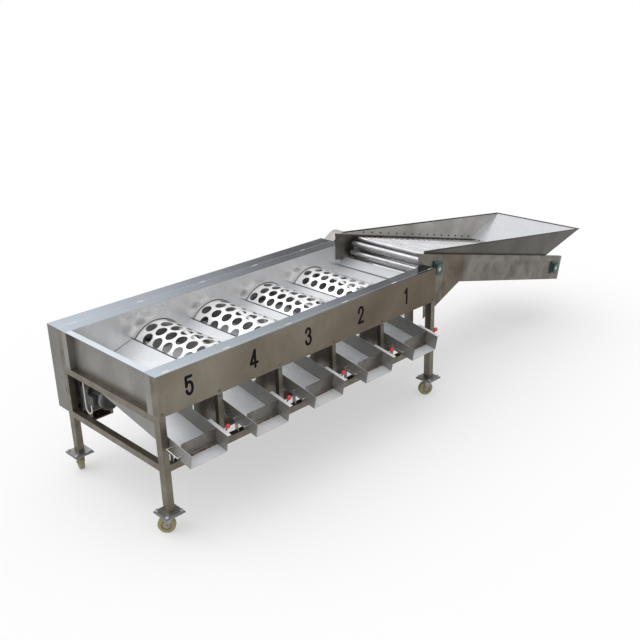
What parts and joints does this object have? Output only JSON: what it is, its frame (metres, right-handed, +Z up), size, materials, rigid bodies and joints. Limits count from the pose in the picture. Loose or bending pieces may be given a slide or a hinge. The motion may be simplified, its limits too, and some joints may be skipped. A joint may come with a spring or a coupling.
{
  "type": "fruit_grading_machine",
  "caption": "Stainless fruit grading machine on casters: a roller elevator with hopper feeds perforated sizing drums over gated outlet chutes.",
  "frame": {"origin": "centre of the bounding box's underside, on the floor", "axes": "+X runs along the machine from the largest-fruit outlet to the hopper, -Y is the outlet side, +Z is up"},
  "size_m": [4.3894, 1.2812, 1.0357],
  "materials": {
    "stainless_tube": "satin",
    "stainless_panel": "brushed",
    "stainless_wall": "satin",
    "deck_sheet": "satin",
    "chute_sheet": "satin",
    "side_sheet": "brushed",
    "polished_steel": "polished",
    "gate_steel": "satin",
    "zinc_steel": "satin",
    "red_plastic": "glossy",
    "wheel_tread": "matte",
    "black_rubber": "matte",
    "chain_steel": "matte",
    "bearing_paint": "satin",
    "motor_paint": "satin",
    "white_cable": "matte",
    "shaft_steel": "satin"
  },
  "bodies": {
    "frame": {"legs": "stainless_tube", "caster_plates": "zinc_steel", "long_rails": "stainless_tube", "cross_rails": "stainless_tube", "tray_posts": "stainless_tube", "front_panel": "stainless_panel", "rear_panel": "stainless_panel", "front_inner_wall": "stainless_wall", "rear_inner_wall": "stainless_wall", "end_panels": "stainless_panel", "deck_plates": "deck_sheet", "drive_guard": "stainless_panel", "feed_chain_cover": "stainless_panel", "chutes": "chute_sheet", "chute_brackets": "zinc_steel", "chute_loops": "gate_steel", "gearbox": "motor_paint", "motor_body": "motor_paint", "fan_cover": "motor_paint", "motor_mount": "motor_paint", "motor_cable": "white_cable", "drum_bearings": "bearing_paint", "drive_chains": "chain_steel", "wall_rings": "black_rubber", "elevator_sides": "side_sheet", "elevator_rollers": "polished_steel", "elevator_chains": "chain_steel", "elevator_bearings": "bearing_paint", "elevator_ties": "side_sheet", "hopper_sides": "stainless_wall", "hopper_end": "stainless_wall"},
    "drum_1": {"drum_1_shell": "polished_steel", "drum_1_drive": "shaft_steel"},
    "drum_2": {"drum_2_shell": "polished_steel", "drum_2_drive": "shaft_steel"},
    "drum_3": {"drum_3_shell": "polished_steel", "drum_3_drive": "shaft_steel"},
    "drum_4": {"drum_4_shell": "polished_steel", "drum_4_drive": "shaft_steel"},
    "gate_1": {"gate_1": "gate_steel", "knob_1": "red_plastic"},
    "gate_2": {"gate_2": "gate_steel", "knob_2": "red_plastic"},
    "gate_3": {"gate_3": "gate_steel", "knob_3": "red_plastic"},
    "gate_4": {"gate_4": "gate_steel", "knob_4": "red_plastic"},
    "gate_5": {"gate_5": "gate_steel", "knob_5": "red_plastic"},
    "caster_fl": {"fork_fl": "zinc_steel"},
    "roller_fl": {"wheel_fl": "wheel_tread"},
    "caster_rl": {"fork_rl": "zinc_steel"},
    "roller_rl": {"wheel_rl": "wheel_tread"},
    "caster_fr": {"fork_fr": "zinc_steel"},
    "roller_fr": {"wheel_fr": "wheel_tread"},
    "caster_rr": {"fork_rr": "zinc_steel"},
    "roller_rr": {"wheel_rr": "wheel_tread"},
    "motor_shaft": {"motor_output": "shaft_steel"},
    "elevator_head": {"head_shaft": "shaft_steel"},
    "elevator_tail": {"tail_shaft": "shaft_steel"}
  },
  "joints": [
    {"name": "drum_1_spin", "type": "hinge", "parent": "frame", "child": "drum_1", "pos_m": [-0.21219, 0.04063, 0.635], "axis": [0, 1, 0], "continuous": true},
    {"name": "drum_2_spin", "type": "hinge", "parent": "frame", "child": "drum_2", "pos_m": [-0.65819, 0.04063, 0.635], "axis": [0, 1, 0], "continuous": true},
    {"name": "drum_3_spin", "type": "hinge", "parent": "frame", "child": "drum_3", "pos_m": [-1.10419, 0.04063, 0.635], "axis": [0, 1, 0], "continuous": true},
    {"name": "drum_4_spin", "type": "hinge", "parent": "frame", "child": "drum_4", "pos_m": [-1.55019, 0.04063, 0.635], "axis": [0, 1, 0], "continuous": true},
    {"name": "motor_spin", "type": "hinge", "parent": "frame", "child": "motor_shaft", "pos_m": [-2.04019, 0.43063, 0.54], "axis": [0, 1, 0], "continuous": true},
    {"name": "elevator_head_spin", "type": "hinge", "parent": "frame", "child": "elevator_head", "pos_m": [0.26781, 0.04063, 0.884], "axis": [0, 1, 0], "continuous": true},
    {"name": "elevator_tail_spin", "type": "hinge", "parent": "frame", "child": "elevator_tail", "pos_m": [1.85133, 0.04063, 0.48918], "axis": [0, 1, 0], "continuous": true},
    {"name": "gate_1_fold", "type": "hinge", "parent": "frame", "child": "gate_1", "pos_m": [-0.20219, -0.53268, 0.48988], "axis": [1, 0, 0], "range_deg": [0, 80]},
    {"name": "gate_2_fold", "type": "hinge", "parent": "frame", "child": "gate_2", "pos_m": [-0.64819, -0.53268, 0.48988], "axis": [1, 0, 0], "range_deg": [0, 80]},
    {"name": "gate_3_fold", "type": "hinge", "parent": "frame", "child": "gate_3", "pos_m": [-1.09419, -0.53268, 0.48988], "axis": [1, 0, 0], "range_deg": [0, 80]},
    {"name": "gate_4_fold", "type": "hinge", "parent": "frame", "child": "gate_4", "pos_m": [-1.54019, -0.53268, 0.48988], "axis": [1, 0, 0], "range_deg": [0, 80]},
    {"name": "gate_5_fold", "type": "hinge", "parent": "frame", "child": "gate_5", "pos_m": [-1.98619, -0.53268, 0.48988], "axis": [1, 0, 0], "range_deg": [0, 80]},
    {"name": "caster_fl_swivel", "type": "hinge", "parent": "frame", "child": "caster_fl", "pos_m": [-2.13219, -0.42237, 0.1], "axis": [0, 0, 1], "continuous": true},
    {"name": "wheel_fl_spin", "type": "hinge", "parent": "caster_fl", "child": "roller_fl", "pos_m": [-2.14634, -0.40823, 0.05], "axis": [-0.7071, -0.7071, 0], "continuous": true},
    {"name": "caster_rl_swivel", "type": "hinge", "parent": "frame", "child": "caster_rl", "pos_m": [-2.13219, 0.50363, 0.1], "axis": [0, 0, 1], "continuous": true},
    {"name": "wheel_rl_spin", "type": "hinge", "parent": "caster_rl", "child": "roller_rl", "pos_m": [-2.12635, 0.52275, 0.05], "axis": [-0.9563, 0.2924, 0], "continuous": true},
    {"name": "caster_fr_swivel", "type": "hinge", "parent": "frame", "child": "caster_fr", "pos_m": [0.10781, -0.42237, 0.1], "axis": [0, 0, 1], "continuous": true},
    {"name": "wheel_fr_spin", "type": "hinge", "parent": "caster_fr", "child": "roller_fr", "pos_m": [0.09049, -0.41237, 0.05], "axis": [-0.5, -0.866, 0], "continuous": true},
    {"name": "caster_rr_swivel", "type": "hinge", "parent": "frame", "child": "caster_rr", "pos_m": [0.10781, 0.50363, 0.1], "axis": [0, 0, 1], "continuous": true},
    {"name": "wheel_rr_spin", "type": "hinge", "parent": "caster_rr", "child": "roller_rr", "pos_m": [0.09781, 0.52095, 0.05], "axis": [-0.866, -0.5, 0], "continuous": true}
  ],
  "couplings": [
    {"joint": "drum_1_spin", "follows": "drum_4_spin", "ratio": 1},
    {"joint": "drum_2_spin", "follows": "drum_4_spin", "ratio": 1},
    {"joint": "drum_3_spin", "follows": "drum_4_spin", "ratio": 1},
    {"joint": "motor_spin", "follows": "drum_4_spin", "ratio": 1.9375},
    {"joint": "elevator_head_spin", "follows": "drum_4_spin", "ratio": 0.74074},
    {"joint": "elevator_tail_spin", "follows": "drum_4_spin", "ratio": 0.74074}
  ]
}
